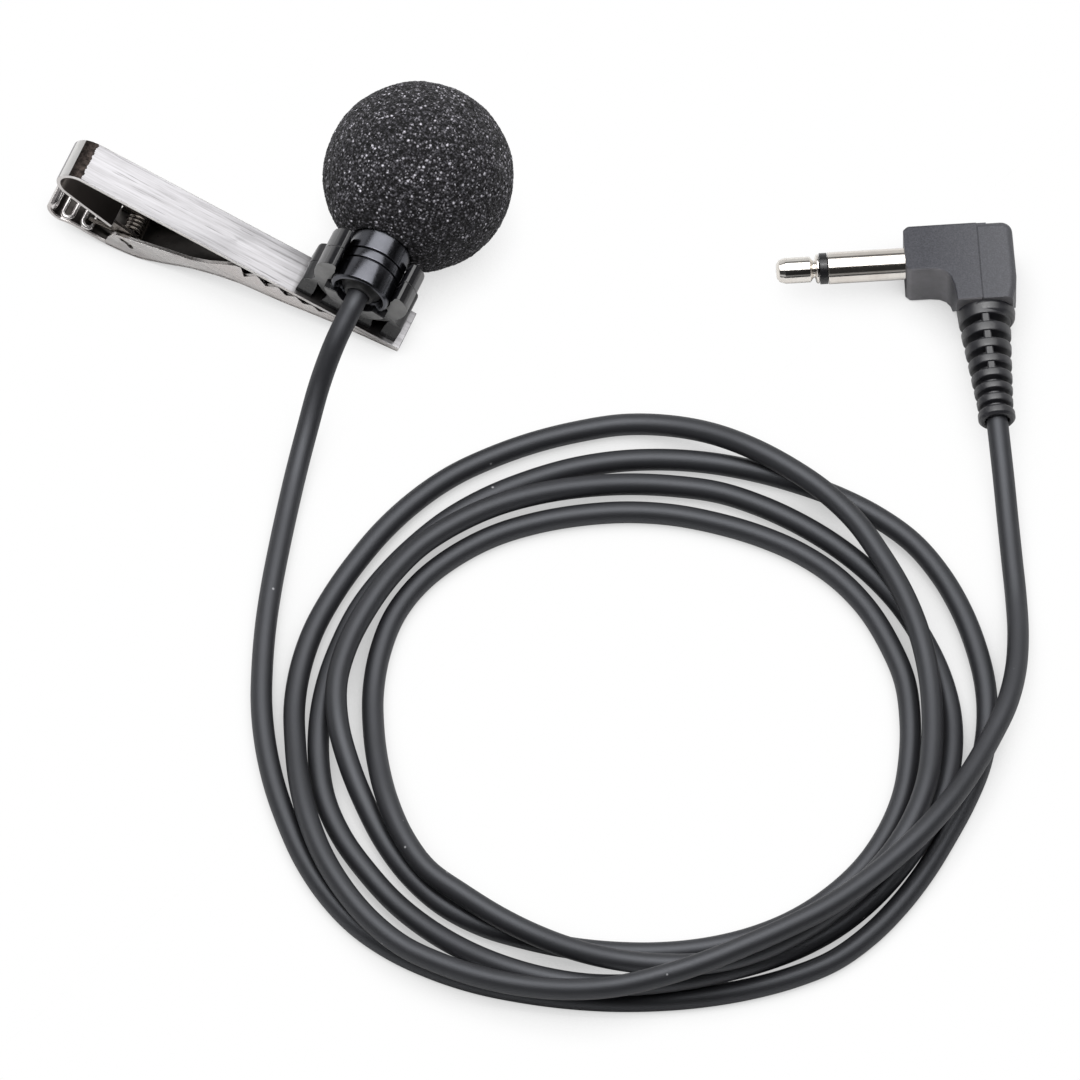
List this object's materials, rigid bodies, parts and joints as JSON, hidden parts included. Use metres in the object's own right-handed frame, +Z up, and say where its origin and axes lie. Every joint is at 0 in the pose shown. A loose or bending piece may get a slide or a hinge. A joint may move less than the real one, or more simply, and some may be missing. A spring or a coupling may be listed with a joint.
{
  "type": "lavalier microphone",
  "caption": "Clip-on lavalier microphone with a foam ball windscreen, sprung metal clip, coiled round cable and right-angle 3.5 mm mono plug, lying as put down",
  "frame": {"origin": "centre of the bounding box in X and Y, at the height of the surface the object lies on", "axes": "+Z up; +X from the clip towards the plug; +Y from the coil towards the foam ball and the plug"},
  "size_m": [0.1076, 0.1116, 0.021],
  "materials": {
    "foam": "open-cell foam, matt",
    "satin_black": "satin moulding",
    "soft_black": "matt soft",
    "light_metal": "drawn, satin",
    "felt": "felt",
    "film": "metallised film",
    "white_plastic": "natural",
    "brass": "plain",
    "dark_plastic": "satin",
    "board": "laminate",
    "copper": "copper conductor",
    "gloss_black": "polished moulding",
    "spring_steel": "drawn wire",
    "nickel": "nickel plated, lightly brushed",
    "cable_black": "satin jacket",
    "mould_black": "fine texture"
  },
  "bodies": {
    "core": {"mic_front_sleeve": "satin_black", "trim_ring": "satin_black", "rear_shell": "satin_black", "cable_grommet": "soft_black", "front_grille": "light_metal", "dust_felt": "felt", "capsule_can": "light_metal", "diaphragm": "film", "spacer_ring": "white_plastic", "back_plate": "brass", "plate_holder": "white_plastic", "jfet": "dark_plastic", "capsule_board": "board", "mic_signal_wire": "copper", "mic_shield_wire": "copper", "cable_jacket": "cable_black", "plug_overmould": "mould_black", "plug_sleeve": "nickel", "plug_tip": "nickel", "tip_insulator": "dark_plastic", "rear_insulator": "dark_plastic", "tip_terminal": "brass", "ground_terminal": "brass", "plug_signal_wire": "copper", "plug_shield_wire": "copper"},
    "foam": {"foam_windscreen": "foam"},
    "clip_arm": {"mic_holder": "gloss_black", "holder_rivet": "spring_steel", "upper_arm": "nickel", "hinge_pin": "spring_steel", "torsion_spring": "spring_steel"},
    "jaw": {"lower_jaw": "nickel"}
  },
  "joints": [
    {"name": "foam_pull", "type": "slide", "parent": "core", "child": "foam", "axis": [0.3987, 0.9171, 0], "range_m": [0, 0.025]},
    {"name": "clip_turn", "type": "hinge", "parent": "core", "child": "clip_arm", "pos_m": [-0.01832, 0.03302, 0.01053], "axis": [0.3987, 0.9171, 0], "range_deg": [-115, 180]},
    {"name": "jaw_open", "type": "hinge", "parent": "clip_arm", "child": "jaw", "pos_m": [-0.04398, 0.04385, 0.00228], "axis": [0.3987, 0.9171, 0], "range_deg": [0, 20], "stiffness_Nm_per_rad": 0.03, "deforming": ["torsion_spring"]}
  ]
}
